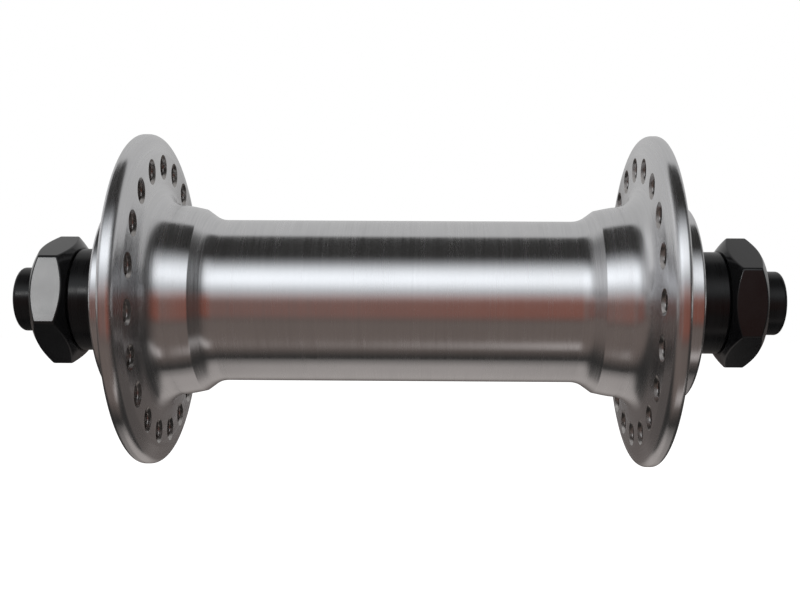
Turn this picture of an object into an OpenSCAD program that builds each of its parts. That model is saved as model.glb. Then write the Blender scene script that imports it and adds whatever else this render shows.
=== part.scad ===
// Bicycle front hub for a quick-release skewer: a turned aluminium shell that spins on two
// sealed ball bearings round a hollow axle. The axle lies along X, the origin is the hub's
// centre and +Z is up. All sizes are in millimetres.

/* [Axle] */
// Width over the two locknuts, the gap between the fork ends
over_locknut_width = 100; // [95:0.5:110]
// Length of each axle end outside its locknut
axle_end_length = 3.5; // [3:0.1:6]
// Diameter of the axle under the bearings and locknuts
axle_body_d = 10; // [9.6:0.1:10.4]
// Height of the step down to the axle's ends, which rest in the fork ends
axle_step = 0.5; // [0.3:0.05:0.7]
// Diameter of the bore that the skewer passes through
skewer_bore_d = 5.2; // [5:0.1:6]
// Rounding of the axle's outer edges
axle_end_round = 0.5; // [0.2:0.1:1.2]
// Chamfer at the mouths of the skewer bore
skewer_bore_chamfer = 0.4; // [0.1:0.1:0.8]
// How far the axle's thick part stops short of the locknuts' outer faces
axle_setback = 0.3; // [0.1:0.1:1]
// Depth of the groove at the foot of each axle end
foot_groove_depth = 0.2; // [0.1:0.05:0.4]
// How far that groove reaches outside the locknut's face
foot_groove_reach = 0.2; // [0.1:0.05:0.4]

/* [Locknuts] */
// Width of a locknut across its flats
nut_across_flats = 16; // [15:0.5:18]
// Thickness of a locknut
nut_width = 5; // [4.5:0.1:5.6]
// Width that the corner chamfer takes off the middle of each flat's edge
nut_face_margin = 0.6; // [0.2:0.1:0.8]
// Slope of the corner chamfer against the face
nut_chamfer_angle = 34; // [30:1:45]
// Turn of the left locknut about the axle, from a flat at the front
left_nut_turn = 9.5; // [0:0.5:30]
// Turn of the right locknut about the axle, from a flat at the front
right_nut_turn = 0; // [0:0.5:30]

/* [Axle spacers] */
// Diameter of the round collar between shell and locknut
collar_d = 14.4; // [14:0.1:15]
// Length of that collar
collar_length = 4.8; // [4.5:0.05:6]
// Gap between the collar and the end face of the shell
collar_gap = 0.35; // [0.3:0.05:0.6]
// Diameter of the nose that presses on the bearing's inner ring
nose_d = 12.4; // [12:0.1:12.8]
// Chamfer at the collar's edges
collar_chamfer = 0.3; // [0.1:0.1:0.6]
// Wall of the long sleeve that keeps the two inner rings apart
sleeve_wall = 1.3; // [1:0.1:1.4]

/* [Shell barrel and bearing seats] */
// Wall of the shell round a bearing, at the boss and where the neck meets the flange
seat_wall = 2.55; // [2.2:0.05:3.2]
// Length of a boss outside its flange
boss_length = 4.2; // [3:0.05:5]
// Rounding at the outer edge of a boss
boss_round = 0.45; // [0.2:0.05:0.8]
// Radius between a boss and its flange
boss_fillet = 1.2; // [0.5:0.1:1.6]
// Length of a neck, from its flange to the edge where the shoulder starts
neck_length = 5.9; // [5.2:0.1:7]
// How far the neck has dropped at its crown
neck_crown_drop = 0.2; // [0.1:0.05:0.5]
// How far it drops from the crown to that edge
neck_edge_drop = 0.5; // [0.4:0.05:0.8]
// Distance from the crown to that edge, along the axle
neck_crown_reach = 2.4; // [2:0.1:2.8]
// Radius of the crown
neck_crown_round = 12; // [8:1:14]
// Rounding of the edge
neck_edge_round = 0.35; // [0.2:0.05:0.8]
// Height of the shoulder between the edge and the barrel
shoulder_height = 1.5; // [1.1:0.05:1.8]
// Slope of the shoulder
shoulder_angle = 36; // [34:1:46]
// Radius between the shoulder and the barrel
shoulder_fillet = 3.25; // [1.5:0.25:3.5]
// Wall of the barrel
barrel_wall = 2.5; // [1.8:0.1:3]
// Chamfer at the mouth of a bearing seat
seat_chamfer = 0.3; // [0.1:0.1:0.6]
// Width of the ledge that stops a bearing
seat_ledge = 0.8; // [0.6:0.1:1]
// Length of the relief behind that ledge
seat_relief = 0.8; // [0.4:0.1:1.6]

/* [Flanges] */
// Diameter of the flanges
flange_d = 46.3; // [45:0.1:52]
// Thickness of a flange
flange_thickness = 2.5; // [2.3:0.1:3]
// Thickness of a flange at its edge
rim_thickness = 1.9; // [1.7:0.05:2.1]
// Width of the margin that slopes back from the inner face to that edge
rim_margin = 2.5; // [2.2:0.1:2.7]
// Rounding where that margin starts
margin_round = 1.5; // [0.5:0.1:2]
// Rounding of the edge on the inner side
rim_inner_round = 1; // [0.4:0.1:1.2]
// Rounding of the edge on the outer side
rim_outer_round = 0.6; // [0.2:0.1:0.7]
// Radius between a flange and the neck
flange_fillet = 1.5; // [0.8:0.1:2]

/* [Spoke holes] */
// Number of spoke holes in each flange
holes_per_flange = 20; // [16:2:22]
// Distance from the middle of a spoke hole to the flange's edge
hole_edge_distance = 4.5; // [4.2:0.05:4.8]
// Diameter of a spoke hole
spoke_hole_d = 2.6; // [2.4:0.1:3]
// Width of the countersink round both ends of a spoke hole
countersink_width = 0.4; // [0.15:0.05:0.4]
// Depth of that countersink
countersink_depth = 0.4; // [0.15:0.05:0.5]
// Turn of the left flange's holes, from one hole at the top towards the front
left_hole_turn = 5; // [0:0.5:18]
// Turn of the right flange's holes, from one hole at the top towards the front
right_hole_turn = 0; // [0:0.5:18]

/* [Bearings] */
// Outer diameter of a bearing
bearing_od = 22; // [21.5:0.1:24]
// Width of a bearing
bearing_width = 6; // [5.8:0.1:7]
// How far a bearing lies inside the shell's end face
bearing_recess = 0.4; // [0.2:0.1:0.8]
// Number of balls in a bearing
balls_per_bearing = 9; // [7:1:9]
// Diameter of a ball
ball_d = 3.175; // [3:0.025:3.3]
// Play between a ball and each raceway
ball_play = 0.05; // [0.03:0.01:0.08]
// How much wider than the ball the curve of a raceway is
raceway_ease = 0.13; // [0.08:0.01:0.2]
// Depth of a raceway below its ring's shoulder
raceway_depth = 0.65; // [0.5:0.05:0.7]
// Chamfer at the edges of a bearing ring that touch shell and axle
ring_chamfer = 0.3; // [0.1:0.05:0.4]
// Depth of the seat that a seal snaps into, beyond the outer ring's shoulder
seal_seat_depth = 1.1; // [0.9:0.05:1.2]
// Depth of the land that a seal's lip runs on, below the inner ring's shoulder
seal_land_depth = 0.4; // [0.2:0.05:0.5]
// Running gap between a seal's lip and its land
seal_gap = 0.1; // [0.05:0.01:0.15]
// Thickness of a seal at its rims
seal_thickness = 0.65; // [0.5:0.05:0.7]
// How far a seal lies inside the bearing's face
seal_recess = 0.15; // [0.1:0.05:0.25]
// Width of a seal's rims
seal_rim = 0.8; // [0.6:0.1:1]
// Depth of the shallow ring between those rims
seal_hollow = 0.2; // [0.1:0.05:0.25]
// Gap between a seal and the shoulder of the inner ring
seal_side_gap = 0.15; // [0.1:0.05:0.2]
// Thickness of the sheet that a ball cage is pressed from
cage_sheet = 0.35; // [0.3:0.05:0.4]
// Gap between a cage and the shoulders of the rings
cage_side_gap = 0.25; // [0.15:0.05:0.35]
// Play of a ball in its cage pocket
pocket_play = 0.06; // [0.03:0.01:0.1]

/* [Fits] */
// Clearance between the axle and each piece that slides or screws onto it
slip_fit = 0.02; // [0.01:0.01:0.05]
// Clearance between the axle and the long sleeve
sleeve_fit = 0.15; // [0.05:0.05:0.25]

/* [Hidden] */

$fn = 96;
// Largest distance between a rounded corner and the short straight lines that draw it
round_sag = 0.01;
// How far a cutting shape runs past the surface that it cuts
overrun = 1;

// Places along the axle, measured from the centre towards the right, from the axle's end inwards
locknut_face_x = over_locknut_width / 2;
axle_end_x = locknut_face_x + axle_end_length;
locknut_inner_x = locknut_face_x - nut_width;
collar_x = locknut_inner_x - collar_length;
shell_end_x = collar_x - collar_gap;
bearing_outer_x = shell_end_x - bearing_recess;
bearing_inner_x = bearing_outer_x - bearing_width;
bearing_centre_x = (bearing_outer_x + bearing_inner_x) / 2;
flange_outer_x = shell_end_x - boss_length;
flange_inner_x = flange_outer_x - flange_thickness;
neck_edge_x = flange_inner_x - neck_length;
barrel_end_x = neck_edge_x - shoulder_height / tan(shoulder_angle);

// Radii of the shell, from the bearing outwards and then along the neck to the barrel
seat_r = bearing_od / 2;
boss_r = seat_r + seat_wall;
neck_crown_r = boss_r - neck_crown_drop;
neck_edge_r = neck_crown_r - neck_edge_drop;
barrel_r = neck_edge_r - shoulder_height;
barrel_bore_r = barrel_r - barrel_wall;
flange_r = flange_d / 2;
hole_circle_r = flange_r - hole_edge_distance;

// Radii of the axle, and the bore of the pieces that sit tight on it
axle_body_r = axle_body_d / 2;
axle_end_r = axle_body_r - axle_step;
axle_seat_r = axle_body_r + slip_fit;

// Radii inside a bearing
pitch_r = (axle_body_r + seat_r) / 2;
ball_r = ball_d / 2;
pocket_r = ball_r + pocket_play;
raceway_r = (ball_d + raceway_ease) / 2;
outer_raceway_r = pitch_r + ball_r + ball_play;
inner_raceway_r = pitch_r - ball_r - ball_play;
outer_shoulder_r = outer_raceway_r - raceway_depth;
inner_shoulder_r = inner_raceway_r + raceway_depth;
seal_seat_r = outer_shoulder_r + seal_seat_depth;
seal_land_r = inner_shoulder_r - seal_land_depth;

// Places inside a bearing, measured from its middle plane outwards
ring_half = bearing_width / 2;
seal_face = ring_half - seal_recess;
shoulder_half = seal_face - seal_thickness;

// Points of the corner b between the straight lines to a and to c. The third number of b is
// the radius of its rounding, and 0 leaves it sharp.
function corner(a, b, c) =
    let (
        at = [b[0], b[1]],
        u = ([a[0], a[1]] - at) / norm([a[0], a[1]] - at),
        v = ([c[0], c[1]] - at) / norm([c[0], c[1]] - at),
        half = acos(u * v) / 2
    )
    b[2] == 0 || half > 89.9 ? [at] : rounding(at, u, v, half, b[2]);

// Points along the arc of radius r that touches both lines from a corner
function rounding(at, u, v, half, r) =
    let (
        centre = at + (u + v) / norm(u + v) * r / sin(half),
        first = at + u * r / tan(half) - centre,
        start = atan2(first[1], first[0]),
        sweep = -sign(cross(u, v)) * (180 - 2 * half),
        steps = ceil(abs(sweep) / (2 * acos(1 - round_sag / r)))
    )
    [for (i = [0 : steps]) centre + r * [cos(start + sweep * i / steps), sin(start + sweep * i / steps)]];

// A closed outline of [place along the axle, radius, rounding] with its corners rounded
function rounded(points) = [
    for (i = [0 : len(points) - 1])
        each corner(
            points[(i + len(points) - 1) % len(points)],
            points[i],
            points[(i + 1) % len(points)]
        )
];

// The same points in reverse order, mirrored to the left of the hub
function mirrored(points) = [
    for (i = [len(points) - 1 : -1 : 0]) [-points[i][0], points[i][1], points[i][2]]
];

// Lays a shape that is drawn along Z onto the axle
module along_axle() {
    rotate([0, 90, 0])
        children();
}

// Turns an outline of [place along the axle, radius] round the axle
module turned(outline) {
    along_axle()
        rotate_extrude()
            polygon([for (p = outline) [p[1], p[0]]]);
}

// Draws a right-hand shape on the left of the hub
module on_left() {
    mirror([1, 0, 0])
        children();
}

// Puts a shape that is drawn round the origin into the right bearing, its outer side outwards
module in_bearing() {
    translate([bearing_centre_x, 0, 0])
        children();
}

// Repeats a shape once for each ball of a bearing
module at_each_ball() {
    for (i = [0 : balls_per_bearing - 1])
        rotate([i * 360 / balls_per_bearing, 0, 0])
            translate([0, 0, pitch_r])
                children();
}

// Ring-shaped groove that the balls run in, for cutting
module raceway(centre_r) {
    along_axle()
        rotate_extrude()
            translate([centre_r, 0])
                circle(r = raceway_r);
}

// Outer ring of a bearing, with a seat for a seal on each side
module outer_ring() {
    difference() {
        turned([
            [-ring_half, seal_seat_r],
            [-ring_half, seat_r - ring_chamfer],
            [-ring_half + ring_chamfer, seat_r],
            [ring_half - ring_chamfer, seat_r],
            [ring_half, seat_r - ring_chamfer],
            [ring_half, seal_seat_r],
            [shoulder_half, seal_seat_r],
            [shoulder_half, outer_shoulder_r],
            [-shoulder_half, outer_shoulder_r],
            [-shoulder_half, seal_seat_r]
        ]);
        raceway(outer_raceway_r - raceway_r);
    }
}

// Inner ring of a bearing, with a land for a seal's lip on each side
module inner_ring() {
    difference() {
        turned([
            [-ring_half, axle_seat_r + ring_chamfer],
            [-ring_half, seal_land_r],
            [-shoulder_half, seal_land_r],
            [-shoulder_half, inner_shoulder_r],
            [shoulder_half, inner_shoulder_r],
            [shoulder_half, seal_land_r],
            [ring_half, seal_land_r],
            [ring_half, axle_seat_r + ring_chamfer],
            [ring_half - ring_chamfer, axle_seat_r],
            [-ring_half + ring_chamfer, axle_seat_r]
        ]);
        raceway(inner_raceway_r + raceway_r);
    }
}

// Rubber seal on the outer side of a bearing: a bead in the outer ring's seat, a thinner
// middle and a lip that runs close to the inner ring
module seal() {
    lip_r = seal_land_r + seal_gap;
    back = shoulder_half + seal_side_gap;
    front = seal_face - seal_hollow;
    turned([
        [shoulder_half, seal_seat_r],
        [seal_face, seal_seat_r],
        [seal_face, seal_seat_r - seal_rim],
        [front, seal_seat_r - seal_rim - seal_hollow],
        [front, lip_r + seal_rim + seal_hollow],
        [seal_face, lip_r + seal_rim],
        [seal_face, lip_r],
        [back, lip_r],
        [back, outer_shoulder_r],
        [shoulder_half, outer_shoulder_r + seal_side_gap]
    ]);
}

// Outer half of a pressed ball cage: a flat ring with a round pocket over each ball
module cage_half() {
    shell_r = pocket_r + cage_sheet;
    inner_r = inner_shoulder_r + cage_side_gap;
    outer_r = outer_shoulder_r - cage_side_gap;
    difference() {
        intersection() {
            turned([[0, inner_r], [0, outer_r], [shell_r, outer_r], [shell_r, inner_r]]);
            union() {
                along_axle()
                    cylinder(r = outer_r + overrun, h = cage_sheet);
                at_each_ball()
                    sphere(r = shell_r);
            }
        }
        at_each_ball()
            sphere(r = pocket_r);
    }
}

// Hollow axle, turned down at both ends, with a groove that lets a fork end lie flat on the nut
module axle() {
    step_x = locknut_face_x - axle_setback;
    foot_x = locknut_face_x + foot_groove_reach;
    groove_r = axle_end_r - foot_groove_depth;
    bore_r = skewer_bore_d / 2;
    outside = [
        [step_x, axle_body_r, 0],
        [step_x, groove_r, 0],
        [foot_x, groove_r, 0],
        [foot_x, axle_end_r, 0],
        [axle_end_x, axle_end_r, axle_end_round],
        [axle_end_x, bore_r + skewer_bore_chamfer, 0],
        [axle_end_x - skewer_bore_chamfer, bore_r, 0]
    ];
    color("#161616")
        turned(rounded(concat(outside, mirrored(outside))));
}

// Long tube between the two inner rings
module bearing_sleeve() {
    bore_r = axle_body_r + sleeve_fit;
    color("#b9bbbe")
        turned([
            [-bearing_inner_x, bore_r],
            [-bearing_inner_x, bore_r + sleeve_wall],
            [bearing_inner_x, bore_r + sleeve_wall],
            [bearing_inner_x, bore_r]
        ]);
}

module right_inner_ring() {
    color("#a9acb0")
        in_bearing()
            inner_ring();
}

module left_inner_ring() {
    on_left()
        right_inner_ring();
}

// Collar that stands out of the shell, with a narrower nose against the inner ring
module right_axle_spacer() {
    collar_r = collar_d / 2;
    color("#121212")
        turned([
            [bearing_outer_x, axle_seat_r],
            [bearing_outer_x, nose_d / 2],
            [collar_x, nose_d / 2],
            [collar_x, collar_r - collar_chamfer],
            [collar_x + collar_chamfer, collar_r],
            [locknut_inner_x - collar_chamfer, collar_r],
            [locknut_inner_x, collar_r - collar_chamfer],
            [locknut_inner_x, axle_seat_r]
        ]);
}

module left_axle_spacer() {
    on_left()
        right_axle_spacer();
}

// Hexagon nut with its corners chamfered on both faces
module locknut(turn) {
    flat_r = nut_across_flats / 2;
    corner_r = flat_r / cos(30);
    face_r = flat_r - nut_face_margin;
    reach = corner_r + overrun;
    slope = (reach - face_r) * tan(nut_chamfer_angle);
    color("#1a1a1a")
        difference() {
            intersection() {
                translate([locknut_inner_x, 0, 0])
                    rotate([-turn, 0, 0])
                        along_axle()
                            cylinder(r = corner_r, h = nut_width, $fn = 6);
                turned([
                    [locknut_inner_x, 0],
                    [locknut_inner_x, face_r],
                    [locknut_inner_x + slope, reach],
                    [locknut_face_x - slope, reach],
                    [locknut_face_x, face_r],
                    [locknut_face_x, 0]
                ]);
            }
            translate([locknut_inner_x - overrun, 0, 0])
                along_axle()
                    cylinder(r = axle_seat_r, h = nut_width + 2 * overrun);
        }
}

module right_locknut() {
    locknut(right_nut_turn);
}

module left_locknut() {
    on_left()
        locknut(left_nut_turn);
}

// Cutter for one spoke hole: a bore with a countersink at each end
module spoke_hole() {
    hole_r = spoke_hole_d / 2;
    wide_r = hole_r + countersink_width * (1 + overrun / countersink_depth);
    turned([
        [flange_inner_x - overrun, 0],
        [flange_inner_x - overrun, wide_r],
        [flange_inner_x + countersink_depth, hole_r],
        [flange_outer_x - countersink_depth, hole_r],
        [flange_outer_x + overrun, wide_r],
        [flange_outer_x + overrun, 0]
    ]);
}

// All holes of the right flange, the first one turned from the top towards the front
module flange_holes(turn) {
    for (i = [0 : holes_per_flange - 1])
        rotate([turn + i * 360 / holes_per_flange, 0, 0])
            translate([0, 0, hole_circle_r])
                spoke_hole();
}

// Barrel, bearing seats and both flanges, turned from one bar and then drilled
module hub_shell() {
    ledge_r = seat_r - seat_ledge;
    relief_x = bearing_inner_x - seat_relief;
    outside = [
        [barrel_end_x, barrel_r, shoulder_fillet],
        [neck_edge_x, neck_edge_r, neck_edge_round],
        [neck_edge_x + neck_crown_reach, neck_crown_r, neck_crown_round],
        [flange_inner_x, boss_r, flange_fillet],
        [flange_inner_x, flange_r - rim_margin, margin_round],
        [flange_outer_x - rim_thickness, flange_r, rim_inner_round],
        [flange_outer_x, flange_r, rim_outer_round],
        [flange_outer_x, boss_r, boss_fillet],
        [shell_end_x, boss_r, boss_round]
    ];
    inside = [
        [shell_end_x, seat_r + seat_chamfer, 0],
        [shell_end_x - seat_chamfer, seat_r, 0],
        [bearing_inner_x, seat_r, 0],
        [bearing_inner_x, ledge_r, 0],
        [relief_x, ledge_r, 0],
        [relief_x - (ledge_r - barrel_bore_r), barrel_bore_r, 0]
    ];
    color("#c3c5c8")
        difference() {
            turned(rounded(concat(mirrored(outside), outside, inside, mirrored(inside))));
            flange_holes(right_hole_turn);
            on_left()
                flange_holes(left_hole_turn);
        }
}

module right_outer_ring() {
    color("#a9acb0")
        in_bearing()
            outer_ring();
}

module left_outer_ring() {
    on_left()
        right_outer_ring();
}

module right_outer_seal() {
    color("#202020")
        in_bearing()
            seal();
}

module left_outer_seal() {
    on_left()
        right_outer_seal();
}

module right_inner_seal() {
    color("#202020")
        in_bearing()
            mirror([1, 0, 0])
                seal();
}

module left_inner_seal() {
    on_left()
        right_inner_seal();
}

module right_balls() {
    color("#d8dadc")
        in_bearing()
            at_each_ball()
                sphere(r = ball_r);
}

module left_balls() {
    on_left()
        right_balls();
}

module right_cage_outer_half() {
    color("#8e9195")
        in_bearing()
            cage_half();
}

module left_cage_outer_half() {
    on_left()
        right_cage_outer_half();
}

module right_cage_inner_half() {
    color("#8e9195")
        in_bearing()
            mirror([1, 0, 0])
                cage_half();
}

module left_cage_inner_half() {
    on_left()
        right_cage_inner_half();
}

axle();
bearing_sleeve();
left_inner_ring();
right_inner_ring();
left_axle_spacer();
right_axle_spacer();
left_locknut();
right_locknut();
hub_shell();
left_outer_ring();
right_outer_ring();
left_outer_seal();
right_outer_seal();
left_inner_seal();
right_inner_seal();
left_balls();
right_balls();
left_cage_outer_half();
right_cage_outer_half();
left_cage_inner_half();
right_cage_inner_half();
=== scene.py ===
import math

import bmesh
import bpy
from mathutils import Matrix, Vector


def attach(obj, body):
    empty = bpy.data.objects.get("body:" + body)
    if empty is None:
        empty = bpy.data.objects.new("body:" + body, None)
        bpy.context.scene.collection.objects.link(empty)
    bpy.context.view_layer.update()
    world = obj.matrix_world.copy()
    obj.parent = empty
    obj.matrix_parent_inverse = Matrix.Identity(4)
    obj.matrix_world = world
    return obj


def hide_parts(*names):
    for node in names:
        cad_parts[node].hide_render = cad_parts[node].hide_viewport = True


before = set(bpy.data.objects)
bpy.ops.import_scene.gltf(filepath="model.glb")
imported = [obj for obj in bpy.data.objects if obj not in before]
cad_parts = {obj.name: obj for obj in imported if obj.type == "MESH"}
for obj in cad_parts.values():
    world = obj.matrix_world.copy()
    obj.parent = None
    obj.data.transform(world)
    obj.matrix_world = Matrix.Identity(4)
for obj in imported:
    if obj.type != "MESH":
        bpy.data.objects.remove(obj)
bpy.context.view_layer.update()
scene = bpy.context.scene
mm = 0.001
print("frame loaded with", len(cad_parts), "nodes")

# The axle lies along X and the middle of the hub is the origin. Outlines are lists of
# [place along the axle, radius, rounding] in mm, and angles go from the top to the front.

straightHalf = 89.9  # half of a corner's angle in degrees, from which it counts as straight
turnedArcStep = 8  # degrees between the points of a rounded edge on plain turned pieces
sharpAngle = 33  # faces that meet at a larger angle keep a hard edge


def roundCorner(a, b, c, step):
    at = Vector(b[:2])
    u = (Vector(a[:2]) - at).normalized()
    v = (Vector(c[:2]) - at).normalized()
    half = math.acos(max(-1, min(1, u.dot(v)))) / 2
    if b[2] == 0 or math.degrees(half) > straightHalf:
        return [at]
    centre = at + (u + v).normalized() * b[2] / math.sin(half)
    first = at + u * b[2] / math.tan(half) - centre
    start = math.atan2(first.y, first.x)
    sweep = math.copysign(math.pi - 2 * half, v.x * u.y - v.y * u.x)
    steps = max(2, math.ceil(abs(math.degrees(sweep)) / step))
    turns = [start + sweep * i / steps for i in range(steps + 1)]
    return [centre + b[2] * Vector((math.cos(t), math.sin(t))) for t in turns]


def roundOutline(points, step):
    out = []
    for i, b in enumerate(points):
        out += roundCorner(points[i - 1], b, points[(i + 1) % len(points)], step)
    return out


def mirrorOutline(points):
    return [[-p[0]] + list(p[1:]) for p in reversed(points)]


def onAngle(x, r, angle):
    return Vector((x, -r * math.sin(angle), r * math.cos(angle))) * mm


def evenAngles(around):
    return [2 * math.pi * i / around for i in range(around)]


def skinRings(bm, a, b, finishIndex=0):
    n = len(a)
    for i in range(n):
        face = bm.faces.new((a[i], a[(i + 1) % n], b[(i + 1) % n], b[i]))
        face.material_index = finishIndex


def finishPiece(bm, name, body, nodes, material):
    bmesh.ops.recalc_face_normals(bm, faces=bm.faces)
    mesh = bpy.data.meshes.new(name)
    bm.to_mesh(mesh)
    bm.free()
    mesh.shade_smooth()
    mesh.set_sharp_from_angle(angle=math.radians(sharpAngle))
    piece = bpy.data.objects.new(name, mesh)
    scene.collection.objects.link(piece)
    flatter = piece.modifiers.new("flatFacesFirst", "WEIGHTED_NORMAL")
    flatter.keep_sharp = True
    mesh.materials.append(material)
    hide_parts(*nodes)
    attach(piece, body)
    return piece


def turnPiece(name, outline, around, body, nodes, material):
    bm = bmesh.new()
    points = roundOutline(outline, turnedArcStep)
    rings = [[bm.verts.new(onAngle(p.x, p.y, a)) for a in evenAngles(around)] for p in points]
    for i in range(len(rings)):
        skinRings(bm, rings[i - 1], rings[i])
    return finishPiece(bm, name, body, nodes, material)


# Finishes

noiseRoughness = 0.55
noiseReach = 0.16  # most noise lies within this distance of 0.5
cloudShare = 0.25  # of the slow cloud in the tone of a turned finish
grainShare = 0.4  # of the fine grain in the tone of a plain finish
quarterTurn = 0.25  # turns the stretch of highlights from round the axle to along it


def newFinish(name):
    finish = bpy.data.materials.new(name)
    finish.use_nodes = True
    tree = finish.node_tree
    return finish, tree, tree.nodes["Principled BSDF"]


def addNode(tree, kind, inputs=None, **settings):
    node = tree.nodes.new(kind)
    for key, value in settings.items():
        setattr(node, key, value)
    for key, value in (inputs or {}).items():
        if isinstance(value, bpy.types.NodeSocket):
            tree.links.new(value, node.inputs[key])
        else:
            node.inputs[key].default_value = value
    return node


def ringPlace(tree, length):
    # place along the axle and radius, so a noise on them draws rings on walls and faces alike;
    # y and z run on slowly, so a line fades out on its way round
    where = addNode(tree, "ShaderNodeTexCoord").outputs["Object"]
    parts = addNode(tree, "ShaderNodeSeparateXYZ", {0: where})
    across = addNode(tree, "ShaderNodeCombineXYZ", {1: parts.outputs[1], 2: parts.outputs[2]})
    radius = addNode(tree, "ShaderNodeVectorMath", {0: across.outputs[0]}, operation="LENGTH")
    slow = addNode(tree, "ShaderNodeVectorMath", {0: across.outputs[0], "Scale": length},
                   operation="SCALE")
    along = addNode(tree, "ShaderNodeCombineXYZ", {0: parts.outputs[0],
                                                   1: radius.outputs["Value"]})
    both = addNode(tree, "ShaderNodeVectorMath", {0: along.outputs[0], 1: slow.outputs[0]},
                   operation="ADD")
    return where, both.outputs[0]


def noiseOf(tree, place, size, detail):
    return addNode(tree, "ShaderNodeTexNoise", {"Vector": place, "Scale": 1 / (size * mm),
                                                "Detail": detail,
                                                "Roughness": noiseRoughness}).outputs[0]


def spread(tree, value, low, high):
    # noise stays near its middle, so its middle part is stretched to run from low to high
    return addNode(tree, "ShaderNodeMapRange", {"Value": value, "From Min": 0.5 - noiseReach,
                                                "From Max": 0.5 + noiseReach, "To Min": low,
                                                "To Max": high}).outputs[0]


# The mix node has its numbers on sockets 2 and 3, and its colours on 6 and 7 with output 2

def blendColours(tree, value, first, second):
    return addNode(tree, "ShaderNodeMix", {0: value, 6: (*first, 1), 7: (*second, 1)},
                   data_type="RGBA").outputs[2]


def blendNoise(tree, a, b, share):
    return addNode(tree, "ShaderNodeMix", {0: share, 2: a, 3: b}).outputs[0]


def setSurface(tree, shader, look, tone, roughness):
    tree.links.new(blendColours(tree, spread(tree, tone, 0, 1), look["dark"], look["light"]),
                   shader.inputs["Base Color"])
    tree.links.new(spread(tree, roughness, look["smooth"], look["rough"]),
                   shader.inputs["Roughness"])
    shader.inputs["Metallic"].default_value = look["metal"]
    shader.inputs["Specular IOR Level"].default_value = look.get("gloss", 0.5)


def setRelief(tree, shader, height, strength, depth):
    relief = addNode(tree, "ShaderNodeBump", {"Height": height, "Strength": strength,
                                              "Distance": depth * mm})
    tree.links.new(relief.outputs[0], shader.inputs["Normal"])


def turnedMetal(name, look):
    finish, tree, shader = newFinish(name)
    where, ring = ringPlace(tree, look["lineLength"])
    lines = noiseOf(tree, ring, look["lineSize"], detail=4)
    bands = noiseOf(tree, ring, look["bandSize"], detail=2)
    cloud = noiseOf(tree, where, look["cloudSize"], detail=3)
    mix = blendNoise(tree, bands, lines, look["lineShare"])
    setSurface(tree, shader, look, blendNoise(tree, mix, cloud, cloudShare), mix)
    shader.inputs["Anisotropic"].default_value = look["stretch"]
    shader.inputs["Anisotropic Rotation"].default_value = quarterTurn
    around = addNode(tree, "ShaderNodeTangent", direction_type="RADIAL", axis="X")
    tree.links.new(around.outputs[0], shader.inputs["Tangent"])
    setRelief(tree, shader, mix, look["lineStrength"], look["lineDepth"])
    return finish


def grainedFinish(name, look):
    finish, tree, shader = newFinish(name)
    where = addNode(tree, "ShaderNodeTexCoord").outputs["Object"]
    grain = noiseOf(tree, where, look["grainSize"], detail=3)
    cloud = noiseOf(tree, where, look["cloudSize"], detail=2)
    tone = blendNoise(tree, cloud, grain, grainShare)
    setSurface(tree, shader, look, tone, tone)
    setRelief(tree, shader, grain, look["grainStrength"], look["grainDepth"])
    return finish


# Sizes and depths in the looks are in mm

shellLook = {"dark": (0.69, 0.69, 0.70), "light": (0.82, 0.82, 0.83), "metal": 1.0,
             "smooth": 0.19, "rough": 0.29, "stretch": 0.95, "lineLength": 0.03,
             "lineSize": 0.26, "bandSize": 1.1, "cloudSize": 9, "lineShare": 0.6,
             "lineDepth": 0.016, "lineStrength": 0.5}
# hole walls and countersinks: the plain grain and roughness are their drilled finish, and their
# base colour is darker than the shell's as painted shade inside the spoke holes
boreShadeLook = {"dark": (0.34, 0.32, 0.31), "light": (0.55, 0.53, 0.515), "metal": 1.0,
            "smooth": 0.20, "rough": 0.36, "grainSize": 0.15, "cloudSize": 2,
            "grainDepth": 0.004, "grainStrength": 0.4}
sleeveLook = dict(shellLook, rough=0.45, lineDepth=0.01)
blackTurnedLook = {"dark": (0.004, 0.004, 0.0045), "light": (0.009, 0.009, 0.0095), "metal": 0.0,
                   "smooth": 0.24, "rough": 0.36, "stretch": 0.5, "gloss": 0.25,
                   "lineLength": 0.04, "lineShare": 0.5, "lineSize": 0.18, "bandSize": 1.2,
                   "cloudSize": 6, "lineDepth": 0.004, "lineStrength": 0.4}
blackNutLook = {"dark": (0.005, 0.005, 0.0055), "light": (0.010, 0.010, 0.0105), "metal": 0.0,
                "smooth": 0.10, "rough": 0.17, "gloss": 0.38,
                "grainSize": 0.14, "cloudSize": 5, "grainDepth": 0.004, "grainStrength": 0.4}
ringLook = {"dark": (0.50, 0.50, 0.515), "light": (0.64, 0.64, 0.65), "metal": 1.0,
            "smooth": 0.14, "rough": 0.26, "stretch": 0.5, "lineLength": 0.02, "lineShare": 0.5,
            "lineSize": 0.12, "bandSize": 0.9, "cloudSize": 5,
            "lineDepth": 0.003, "lineStrength": 0.35}
ballLook = {"dark": (0.62, 0.62, 0.63), "light": (0.70, 0.70, 0.71), "metal": 1.0,
            "smooth": 0.04, "rough": 0.09, "grainSize": 0.3, "cloudSize": 2,
            "grainDepth": 0.0005, "grainStrength": 0.2}
cageLook = {"dark": (0.42, 0.41, 0.40), "light": (0.56, 0.55, 0.54), "metal": 1.0,
            "smooth": 0.28, "rough": 0.42, "grainSize": 0.2, "cloudSize": 2,
            "grainDepth": 0.002, "grainStrength": 0.3}
rubberLook = {"dark": (0.014, 0.014, 0.015), "light": (0.030, 0.030, 0.031), "metal": 0.0,
              "smooth": 0.42, "rough": 0.60, "grainSize": 0.10, "cloudSize": 3,
              "grainDepth": 0.006, "grainStrength": 0.5}

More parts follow.
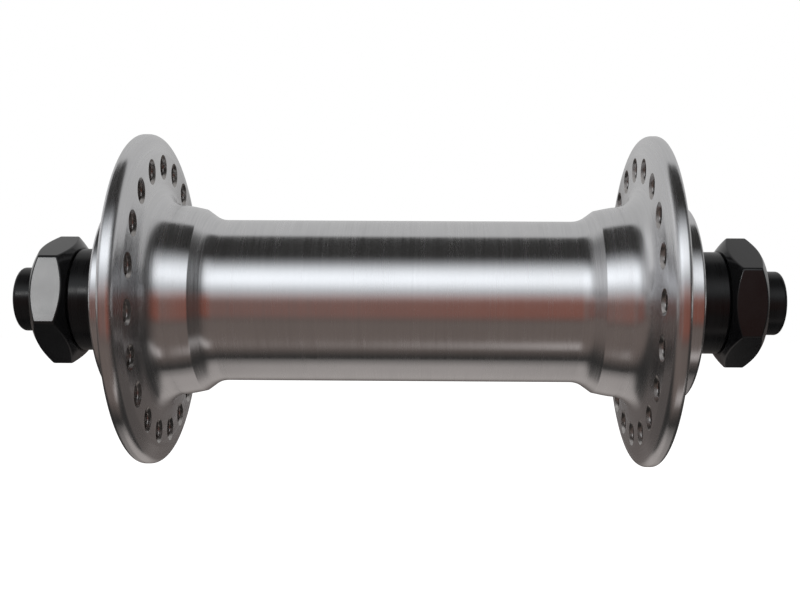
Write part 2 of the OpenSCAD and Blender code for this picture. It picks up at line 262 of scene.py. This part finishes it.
shellAluminium = turnedMetal("turned aluminium", shellLook)
# the hole walls' finish, its darker colour painted shade
holeWallsPaintedShade = grainedFinish("drilled hole walls", boreShadeLook)
sleeveAluminium = turnedMetal("sawn tube aluminium", sleeveLook)
blackTurned = turnedMetal("black anodised turned parts", blackTurnedLook)
blackNut = grainedFinish("black nut finish", blackNutLook)
ringSteel = turnedMetal("ground ring steel", ringLook)
ballSteel = grainedFinish("polished ball steel", ballLook)
cageSteel = grainedFinish("pressed cage sheet", cageLook)
sealRubber = grainedFinish("seal rubber", rubberLook)
print("finishes made")


# Hub shell: one turned outline, with both flanges drilled

hubShell = {"endX": 39.85, "bossRadius": 13.55, "bossRound": 0.45, "bossFillet": 1.2,
            "flangeOuterX": 35.65, "flangeInnerX": 33.15, "flangeRadius": 23.15,
            "rimWidth": 1.9, "rimMargin": 2.5, "marginRound": 1.5, "rimInnerRound": 1.0,
            "rimOuterRound": 0.6, "flangeFillet": 3.1,
            "crownX": 29.65, "crownRadius": 13.35, "crownRound": 12,
            "edgeX": 27.25, "edgeRadius": 12.85, "edgeRound": 0.35,
            "barrelRadius": 11.35, "shoulderAngle": 36, "shoulderFillet": 3.25,
            "seatRadius": 11, "seatChamfer": 0.3, "seatEndX": 33.45, "ledgeRadius": 10.2,
            "ledgeWidth": 0.8, "boreRadius": 8.85, "around": 288, "arcStep": 6,
            "flatWithin": 0.001, "drilledHeight": 3}
spokeHoles = {"count": 20, "circleRadius": 18.65, "radius": 1.3, "countersink": 0.4,
              "countersinkDepth": 0.4, "mouthRound": 0.08, "innerRound": 0.25,
              "leadIn": 1, "leftTurn": 5, "rightTurn": 0, "around": 48, "arcStep": 15}


def shellOutline(s):
    barrelX = s["edgeX"] - (s["edgeRadius"] - s["barrelRadius"]) / math.tan(
        math.radians(s["shoulderAngle"]))
    outside = [[barrelX, s["barrelRadius"], s["shoulderFillet"]],
               [s["edgeX"], s["edgeRadius"], s["edgeRound"]],
               [s["crownX"], s["crownRadius"], s["crownRound"]],
               [s["flangeInnerX"], s["bossRadius"], s["flangeFillet"]],
               [s["flangeInnerX"], s["flangeRadius"] - s["rimMargin"], s["marginRound"]],
               [s["flangeOuterX"] - s["rimWidth"], s["flangeRadius"], s["rimInnerRound"]],
               [s["flangeOuterX"], s["flangeRadius"], s["rimOuterRound"]],
               [s["flangeOuterX"], s["bossRadius"], s["bossFillet"]],
               [s["endX"], s["bossRadius"], s["bossRound"]]]
    reliefX = s["seatEndX"] - s["ledgeWidth"]
    inside = [[s["endX"], s["seatRadius"] + s["seatChamfer"], 0],
              [s["endX"] - s["seatChamfer"], s["seatRadius"], 0],
              [s["seatEndX"], s["seatRadius"], 0],
              [s["seatEndX"], s["ledgeRadius"], 0],
              [reliefX, s["ledgeRadius"], 0],
              [reliefX - (s["ledgeRadius"] - s["boreRadius"]), s["boreRadius"], 0]]
    return mirrorOutline(outside) + outside + inside + mirrorOutline(inside)


def holeOutline(s, h):
    # the first and last point lie on the flange's faces, give the mouths their roundings and go
    wide = h["radius"] + h["countersink"]
    a, b = s["flangeInnerX"], s["flangeOuterX"]
    points = [[a, wide + h["leadIn"], 0], [a, wide, h["mouthRound"]],
              [a + h["countersinkDepth"], h["radius"], h["innerRound"]],
              [b - h["countersinkDepth"], h["radius"], h["innerRound"]],
              [b, wide, h["mouthRound"]], [b, wide + h["leadIn"], 0]]
    return roundOutline(points, h["arcStep"])[1:-1]


def loopEdges(bm, ring):
    return [bm.edges.get((ring[i - 1], ring[i])) for i in range(len(ring))]


def buildShell(s, h):
    bm = bmesh.new()
    points = roundOutline(shellOutline(s), s["arcStep"])
    rings = [[bm.verts.new(onAngle(p.x, p.y, a)) for a in evenAngles(s["around"])]
             for p in points]
    drilled = []
    for i in range(len(rings)):
        a, b = points[i - 1], points[i]
        # the flanges' faces are the only flat faces across the axle that are this high
        if abs(a.x - b.x) < s["flatWithin"] and abs(a.y - b.y) > s["drilledHeight"]:
            drilled.append((round(a.x, 3), rings[i - 1], rings[i]))
        else:
            skinRings(bm, rings[i - 1], rings[i])
    mouths = {}
    for side, turn in ((-1, h["leftTurn"]), (1, h["rightTurn"])):
        for i in range(h["count"]):
            middle = onAngle(0, h["circleRadius"], math.radians(turn + 360 * i / h["count"]))
            loops = []
            for p in holeOutline(s, h):
                loops.append([bm.verts.new(middle + onAngle(side * p.x, p.y, a))
                              for a in evenAngles(h["around"])])
            for k in range(1, len(loops)):
                skinRings(bm, loops[k - 1], loops[k], 1)
            mouths.setdefault(side * s["flangeInnerX"], []).append(loops[0])
            mouths.setdefault(side * s["flangeOuterX"], []).append(loops[-1])
    for x, first, second in drilled:
        edges = []
        for ring in [first, second] + mouths[x]:
            edges += loopEdges(bm, ring)
        bmesh.ops.triangle_fill(bm, use_beauty=True, edges=edges, normal=(1, 0, 0))
    shell = finishPiece(bm, "hub_shell_turned", "hub", ["hub_shell"],
                        shellAluminium)
    # the hole walls and countersinks take this second finish, darkened as painted shade
    shell.data.materials.append(holeWallsPaintedShade)


buildShell(hubShell, spokeHoles)
print("hub shell built")


# Hexagon locknuts

locknut = {"outerX": 50, "innerX": 45, "flatRadius": 8, "faceRadius": 7.4,
           "chamferAngle": 34, "cornerRound": 0.5, "edgeRound": 0.3, "boreRadius": 5.02,
           "boreRound": 0.15, "frontAngle": 90, "leftTurn": 9.5, "rightTurn": 0,
           "flatSteps": 20, "cornerSteps": 8, "arcStep": 6.5}


def hexagonAngles(n):
    # angle from the middle of a flat, and the radius there, once round
    sixth = math.pi / 6
    inset = n["flatRadius"] - n["cornerRound"]
    straight = math.atan(inset * math.tan(sixth) / n["flatRadius"])
    far = inset / math.cos(sixth)
    out = []
    for k in range(6):
        for i in range(n["flatSteps"] + 1):
            phi = -straight + 2 * straight * i / n["flatSteps"]
            out.append((2 * sixth * k + phi, n["flatRadius"] / math.cos(phi)))
        for i in range(1, n["cornerSteps"]):
            psi = (sixth - straight) * (2 * i / n["cornerSteps"] - 1)
            beyond = math.sqrt(n["cornerRound"] ** 2 - (far * math.sin(psi)) ** 2)
            out.append((2 * sixth * k + sixth + psi, far * math.cos(psi) + beyond))
    return out


def buildLocknut(n, side, turn, name, node):
    bm = bmesh.new()
    slope = math.tan(math.radians(n["chamferAngle"]))
    columns = []
    for angle, reach in hexagonAngles(n):
        back = (reach - n["faceRadius"]) * slope
        outline = [[n["innerX"], n["boreRadius"], n["boreRound"]],
                   [n["innerX"], n["faceRadius"], n["edgeRound"]],
                   [n["innerX"] + back, reach, n["edgeRound"]],
                   [n["outerX"] - back, reach, n["edgeRound"]],
                   [n["outerX"], n["faceRadius"], n["edgeRound"]],
                   [n["outerX"], n["boreRadius"], n["boreRound"]]]
        a = math.radians(n["frontAngle"] - turn) + angle
        points = roundOutline(outline, n["arcStep"])
        columns.append([bm.verts.new(onAngle(side * p.x, p.y, a)) for p in points])
    for i in range(len(columns)):
        skinRings(bm, columns[i - 1], columns[i])
    return finishPiece(bm, name, "axle_assembly", [node], blackNut)


blackPieces = [
    buildLocknut(locknut, -1, locknut["leftTurn"], "left_locknut_chamfered", "left_locknut"),
    buildLocknut(locknut, 1, locknut["rightTurn"], "right_locknut_chamfered", "right_locknut")]
print("locknuts built")


# Axle and the collars beside the shell

axle = {"endX": 53.5, "endRadius": 4.5, "endRound": 0.5, "bodyRadius": 5, "stepX": 49.7,
        "footX": 50.2, "grooveRadius": 4.3, "boreRadius": 2.6, "boreChamfer": 0.4,
        "edgeRound": 0.06, "around": 144}
collar = {"noseX": 39.45, "noseRadius": 6.2, "innerX": 40.2, "outerX": 45, "radius": 7.2,
          "chamfer": 0.3, "edgeRound": 0.12, "boreRadius": 5.02, "around": 144}

outside = [[axle["stepX"], axle["bodyRadius"], axle["edgeRound"]],
           [axle["stepX"], axle["grooveRadius"], 0],
           [axle["footX"], axle["grooveRadius"], 0],
           [axle["footX"], axle["endRadius"], axle["edgeRound"]],
           [axle["endX"], axle["endRadius"], axle["endRound"]],
           [axle["endX"], axle["boreRadius"] + axle["boreChamfer"], axle["edgeRound"]],
           [axle["endX"] - axle["boreChamfer"], axle["boreRadius"], 0]]
blackPieces.append(turnPiece("axle_turned", outside + mirrorOutline(outside), axle["around"],
                             "axle_assembly", ["axle"], blackTurned))

rightCollar = [[collar["noseX"], collar["boreRadius"], 0],
               [collar["noseX"], collar["noseRadius"], collar["edgeRound"]],
               [collar["innerX"], collar["noseRadius"], collar["edgeRound"]],
               [collar["innerX"], collar["radius"] - collar["chamfer"], collar["edgeRound"]],
               [collar["innerX"] + collar["chamfer"], collar["radius"], collar["edgeRound"]],
               [collar["outerX"] - collar["chamfer"], collar["radius"], collar["edgeRound"]],
               [collar["outerX"], collar["radius"] - collar["chamfer"], collar["edgeRound"]],
               [collar["outerX"], collar["boreRadius"], 0]]
for side, outline in (("left", mirrorOutline(rightCollar)), ("right", rightCollar)):
    blackPieces.append(turnPiece(side + "_collar_turned", outline, collar["around"],
                                 "axle_assembly", [side + "_axle_spacer"],
                                 blackTurned))
print("axle and collars built")


# Bearings: the outer ring and the outer seal show beside the collar, the rest is inside

bearing = {"middleX": 36.45, "halfWidth": 3, "outerRadius": 11, "ringChamfer": 0.3,
           "sealSeat": 10.0875, "outerShoulder": 8.9875, "shoulderHalf": 2.2, "sealFace": 2.85,
           "raceway": 9.6375, "racewayRound": 1.6525, "racewaySteps": 16, "edgeRound": 0.06,
           "around": 160}
seal = {"lipRadius": 6.7125, "back": 2.35, "hollow": 0.2, "rim": 0.8, "edgeRound": 0.09,
        "sideGap": 0.15, "ribWidth": 0.24, "ribHeight": 0.09, "ribRadius": 8.4, "ribRound": 0.04}


def ringOutline(b):
    # the groove for the balls is an arc between the two shoulders
    centre = b["raceway"] - b["racewayRound"]
    reach = math.acos((b["outerShoulder"] - centre) / b["racewayRound"])
    groove = []
    for i in range(b["racewaySteps"] + 1):
        t = reach - 2 * reach * i / b["racewaySteps"]
        groove.append([b["racewayRound"] * math.sin(t),
                       centre + b["racewayRound"] * math.cos(t), 0])
    h, c, e = b["halfWidth"], b["ringChamfer"], b["edgeRound"]
    side = [[h - c, b["outerRadius"], e], [h, b["outerRadius"] - c, e], [h, b["sealSeat"], e],
            [b["shoulderHalf"], b["sealSeat"], 0], [b["shoulderHalf"], b["outerShoulder"], e]]
    return mirrorOutline(side) + side + groove


def sealOutline(b, s):
    e, k = s["edgeRound"], s["ribWidth"] / 2
    front = b["sealFace"] - s["hollow"]
    top, low = b["sealSeat"] - s["rim"], s["lipRadius"] + s["rim"]
    rib, soft = s["ribRadius"], s["ribRound"]
    return [[b["shoulderHalf"], b["sealSeat"], 0], [b["sealFace"], b["sealSeat"], e],
            [b["sealFace"], top, e], [front, top - s["hollow"], e],
            [front, rib + k + s["ribHeight"], soft], [front + s["ribHeight"], rib + k, soft],
            [front + s["ribHeight"], rib - k, soft], [front, rib - k - s["ribHeight"], soft],
            [front, low + s["hollow"], e], [b["sealFace"], low, e],
            [b["sealFace"], s["lipRadius"], e], [s["back"], s["lipRadius"], e],
            [s["back"], b["outerShoulder"], 0],
            [b["shoulderHalf"], b["outerShoulder"] + s["sideGap"], 0]]


def shifted(outline, x):
    return [[p[0] + x] + list(p[1:]) for p in outline]


for side in ("left", "right"):
    for piece, shape, body, slot, finish in (
            ("outer_ring", ringOutline(bearing), "hub", "ring_steel", ringSteel),
            ("outer_seal", sealOutline(bearing, seal), "hub", "seal_rubber", sealRubber)):
        outline = shifted(shape, bearing["middleX"])
        if side == "left":
            outline = mirrorOutline(outline)
        turnPiece(side + "_" + piece + "_turned", outline, bearing["around"], body,
                  [side + "_" + piece], finish)

# The solids from the CAD, by their name without the side
solidFinish = {"bearing_sleeve": sleeveAluminium, "inner_ring": ringSteel, "balls": ballSteel,
               "cage_outer_half": cageSteel, "cage_inner_half": cageSteel,
               "inner_seal": sealRubber, "outer_seal": sealRubber, "outer_ring": ringSteel,
               "axle_spacer": blackTurned, "locknut": blackNut, "axle": blackTurned,
               "hub_shell": shellAluminium}
for name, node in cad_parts.items():
    kind = name.replace("left_", "").replace("right_", "")
    for spot in node.material_slots:
        spot.material = solidFinish[kind]
print("bearings built, solids finished")


# Studio: white floor and sky, a soft lamp above, a small lamp at the front left that lights only
# the black pieces, and soft cards that only reflections see. Its lengths are in metres.

studio = {"floorZ": -0.12, "floorSize": 6, "floorTone": 0.9, "floorRoughness": 0.8,
          "floorGlow": 0.55, "skyLevel": 0.6,
          "cardRadius": 0.6, "cardHalfLength": 6.0, "cardSteps": 144,
          "roomTone": (0.034, 0.033, 0.032),
          "lampPlace": (-0.238, -0.463, 0.165), "lampSize": (0.08, 0.08), "lampPower": 0.25,
          "topPlace": (0.1, -0.15, 0.9), "topSize": (0.8, 0.8), "topPower": 3.0}
# Each card is a strip of a cylinder round the hub: its angle up from the front in degrees where
# it starts and ends, how far those edges fade, its ends along the axle in metres and their fade
cards = [{"name": "window", "angles": (14.5, 48), "fades": (33, 38), "ends": (-0.5, 0.34),
          "endFades": (0.6, 0.5), "colour": (1.06, 1.09, 1.13)},
         {"name": "window's near side", "angles": (18, 46), "fades": (24, 22),
          "ends": (-0.34, -0.02), "endFades": (0.16, 0.55), "colour": (0.38, 0.41, 0.43)},
         {"name": "window's far side", "angles": (20, 56), "fades": (22, 26), "ends": (0.14, 0.3),
          "endFades": (0.08, 0.3), "colour": (0.46, 0.47, 0.48)},
         {"name": "left wall", "angles": (18, 130), "fades": (26, 60), "ends": (-6, -0.6),
          "endFades": (0.5, 0.5), "colour": (0.42, 0.42, 0.43)},
         {"name": "ceiling", "angles": (102, 178), "fades": (6, 14), "ends": (-6, 6),
          "endFades": (0.5, 0.5), "colour": (0.49, 0.49, 0.49)},
         {"name": "back floor", "angles": (208, 266), "fades": (24, 30), "ends": (-0.22, 0.2),
          "endFades": (0.1, 0.1), "colour": (0.37, 0.34, 0.325)},
         {"name": "dark back", "angles": (178, 208), "fades": (14, 24), "ends": (-6, 6),
          "endFades": (0.1, 0.1), "colour": (0.09, 0.075, 0.07)},
         {"name": "window sill", "angles": (1, 14), "fades": (14, 14), "ends": (-6, 0.06),
          "endFades": (0.5, 0.4), "colour": (0.13, 0.13, 0.135)},
         {"name": "wall's foot", "angles": (-24, 9), "fades": (12, 14), "ends": (-6, -0.8),
          "endFades": (0.5, 0.4), "colour": (0.12, 0.112, 0.108)},
         {"name": "left red wood", "angles": (-24, 9), "fades": (12, 14), "ends": (-0.8, -0.26),
          "endFades": (0.4, 0.12), "colour": (0.16, 0.045, 0.03)},
         {"name": "plain wood", "angles": (-25, 10), "fades": (12, 14), "ends": (-0.26, 0.02),
          "endFades": (0.12, 0.3), "colour": (0.155, 0.115, 0.105)},
         {"name": "red wood", "angles": (-24, 10), "fades": (14, 14), "ends": (0, 0.5),
          "endFades": (0.25, 0.8), "colour": (0.22, 0.055, 0.03)},
         {"name": "table", "angles": (-77, -26), "fades": (26, 14), "ends": (-6, 0.5),
          "endFades": (0.5, 0.9), "colour": (0.13, 0.10, 0.088)},
         {"name": "paper edge", "angles": (-71, -60), "fades": (8, 10), "ends": (0.08, 0.7),
          "endFades": (0.12, 0.3), "colour": (0.42, 0.405, 0.40)}]


def stageMesh(name, verts, faces, material):
    mesh = bpy.data.meshes.new(name)
    mesh.from_pydata(verts, [], faces)
    mesh.materials.append(material)
    obj = bpy.data.objects.new(name, mesh)
    scene.collection.objects.link(obj)
    return obj


def whiteForEyes(tree):
    # 1 for rays from the camera and for mirror and glass rays
    path = addNode(tree, "ShaderNodeLightPath")
    either = addNode(tree, "ShaderNodeMath", {0: path.outputs["Is Camera Ray"],
                                              1: path.outputs["Is Glossy Ray"]},
                     operation="MAXIMUM")
    return addNode(tree, "ShaderNodeMath", {0: either.outputs[0],
                                            1: path.outputs["Is Transmission Ray"]},
                   operation="MAXIMUM").outputs[0]


def buildFloor(s):
    finish, tree, shader = newFinish("white floor")
    shader.inputs["Base Color"].default_value = (s["floorTone"], s["floorTone"], s["floorTone"], 1)
    shader.inputs["Roughness"].default_value = s["floorRoughness"]
    shader.inputs["Specular IOR Level"].default_value = 0
    shader.inputs["Emission Color"].default_value = (1, 1, 1, 1)
    seen = addNode(tree, "ShaderNodeMath", {0: whiteForEyes(tree), 1: s["floorGlow"]},
                   operation="MULTIPLY")
    tree.links.new(seen.outputs[0], shader.inputs["Emission Strength"])
    half = s["floorSize"] / 2
    floor = stageMesh("floor", [(-half, -half, s["floorZ"]), (half, -half, s["floorZ"]),
                               (half, half, s["floorZ"]), (-half, half, s["floorZ"])],
                     [(0, 1, 2, 3)], finish)
    floor.visible_glossy = False  # reflections see the cards instead


def fadeIn(tree, value, middle, width):
    return addNode(tree, "ShaderNodeMapRange", {"Value": value, "From Min": middle - width / 2,
                                                "From Max": middle + width / 2},
                   interpolation_type="SMOOTHSTEP").outputs[0]


def strip(tree, value, ends, fades):
    after = fadeIn(tree, value, ends[0], fades[0])
    past = fadeIn(tree, value, ends[1], fades[1])
    return addNode(tree, "ShaderNodeMath", {0: after, 1: past}, operation="SUBTRACT",
                   use_clamp=True).outputs[0]


def buildCards(s, cards):
    finish = bpy.data.materials.new("studio cards")
    finish.use_nodes = True
    tree = finish.node_tree
    tree.nodes.clear()
    x, y, z = addNode(tree, "ShaderNodeSeparateXYZ",
                      {0: addNode(tree, "ShaderNodeTexCoord").outputs["Object"]}).outputs
    front = addNode(tree, "ShaderNodeMath", {0: y, 1: -1.0}, operation="MULTIPLY").outputs[0]
    turn = addNode(tree, "ShaderNodeMath", {0: z, 1: front}, operation="ARCTAN2").outputs[0]
    angle = addNode(tree, "ShaderNodeMath", {0: turn}, operation="DEGREES").outputs[0]
    # the same angle, counted from -90 to 270, for cards behind the hub
    low = addNode(tree, "ShaderNodeMath", {0: angle, 1: -90.0}, operation="LESS_THAN").outputs[0]
    wholeTurn = addNode(tree, "ShaderNodeMath", {0: low, 1: 360.0, 2: angle},
                        operation="MULTIPLY_ADD").outputs[0]
    room = addNode(tree, "ShaderNodeRGB").outputs[0]
    room.default_value = (*s["roomTone"], 1)
    for card in cards:
        reachesBehind = card["angles"][1] > 90
        place = wholeTurn if reachesBehind else angle
        across = strip(tree, place, card["angles"], card["fades"])
        along = strip(tree, x, card["ends"], card["endFades"])
        share = addNode(tree, "ShaderNodeMath", {0: across, 1: along}, operation="MULTIPLY")
        light = addNode(tree, "ShaderNodeVectorMath",
                        {0: card["colour"], "Scale": share.outputs[0]}, operation="SCALE")
        room = addNode(tree, "ShaderNodeVectorMath", {0: room, 1: light.outputs[0]},
                       operation="ADD").outputs[0]
    glow = addNode(tree, "ShaderNodeEmission", {"Color": room})
    addNode(tree, "ShaderNodeOutputMaterial", {0: glow.outputs[0]})
    n, r, end = s["cardSteps"], s["cardRadius"], s["cardHalfLength"]
    verts = []
    for t in evenAngles(n):
        ahead, up = -r * math.cos(t), r * math.sin(t)
        verts += [(-end, ahead, up), (end, ahead, up)]
    faces = [(2 * i, 2 * i + 1, (2 * i + 3) % (2 * n), (2 * i + 2) % (2 * n)) for i in range(n)]
    drum = stageMesh("reflection_cards", verts, faces, finish)
    drum.visible_camera = drum.visible_diffuse = drum.visible_shadow = False
    drum.visible_transmission = False


def addLamp(name, place, size, power, glossy):
    light = bpy.data.lights.new(name, "AREA")
    light.shape = "RECTANGLE"
    light.size, light.size_y = size
    light.energy = power
    lamp = bpy.data.objects.new(name, light)
    scene.collection.objects.link(lamp)
    lamp.location = place
    lamp.rotation_euler = Vector(place).to_track_quat("Z", "Y").to_euler()
    lamp.visible_glossy = glossy
    return lamp


def lightOnly(lamp, pieces):
    reached = bpy.data.collections.new("pieces lit by " + lamp.name)
    for piece in pieces:
        reached.objects.link(piece)
    lamp.light_linking.receiver_collection = reached


def buildWorld(s):
    world = bpy.data.worlds.new("studio white")
    scene.world = world
    world.use_nodes = True
    tree = world.node_tree
    level = addNode(tree, "ShaderNodeMapRange", {"Value": whiteForEyes(tree),
                                                 "To Min": s["skyLevel"], "To Max": 1.0})
    back = tree.nodes["Background"]
    back.inputs["Color"].default_value = (1, 1, 1, 1)
    tree.links.new(level.outputs[0], back.inputs["Strength"])


buildFloor(studio)
buildCards(studio, cards)
buildWorld(studio)
nutLamp = addLamp("front_left_lamp", studio["lampPlace"], studio["lampSize"], studio["lampPower"],
                  True)
lightOnly(nutLamp, blackPieces)
addLamp("top_lamp", studio["topPlace"], studio["topSize"], studio["topPower"], False)
print("studio lit")


# Camera, where the photograph was taken from. Its place and sensor are in mm, its turns in radians
# and its nearest distance in metres.

view = {"place": (4.314, -139.459, -0.382), "focalPixels": 980.07, "frameWidth": 800,
        "frameHeight": 600, "centrePixel": (420.06, 333.8),
        "yaw": 0.0097, "pitch": -0.0304, "roll": 0.0058, "sensorWidth": 36, "nearest": 0.005}


def addCamera(v):
    cy, sy = math.cos(v["yaw"]), math.sin(v["yaw"])
    cp, sp = math.cos(v["pitch"]), math.sin(v["pitch"])
    cr, sr = math.cos(v["roll"]), math.sin(v["roll"])
    turnYaw = Matrix(((cy, sy, 0), (-sy, cy, 0), (0, 0, 1)))
    turnPitch = Matrix(((1, 0, 0), (0, cp, sp), (0, -sp, cp)))
    turnRoll = Matrix(((cr, 0, sr), (0, 1, 0), (-sr, 0, cr)))
    right, forward, up = turnRoll @ turnPitch @ turnYaw
    data = bpy.data.cameras.new("photo_camera")
    data.sensor_width = v["sensorWidth"]
    data.lens = v["focalPixels"] * data.sensor_width / v["frameWidth"]
    data.shift_x = (v["frameWidth"] / 2 - v["centrePixel"][0]) / v["frameWidth"]
    data.shift_y = (v["centrePixel"][1] - v["frameHeight"] / 2) / v["frameWidth"]
    data.clip_start = v["nearest"]
    camera = bpy.data.objects.new("photo_camera", data)
    scene.collection.objects.link(camera)
    turn = Matrix((right, up, -forward)).transposed().to_4x4()
    camera.matrix_world = Matrix.Translation(Vector(v["place"]) * mm) @ turn
    scene.camera = camera


addCamera(view)
scene.view_settings.view_transform = "Standard"
print("camera set")
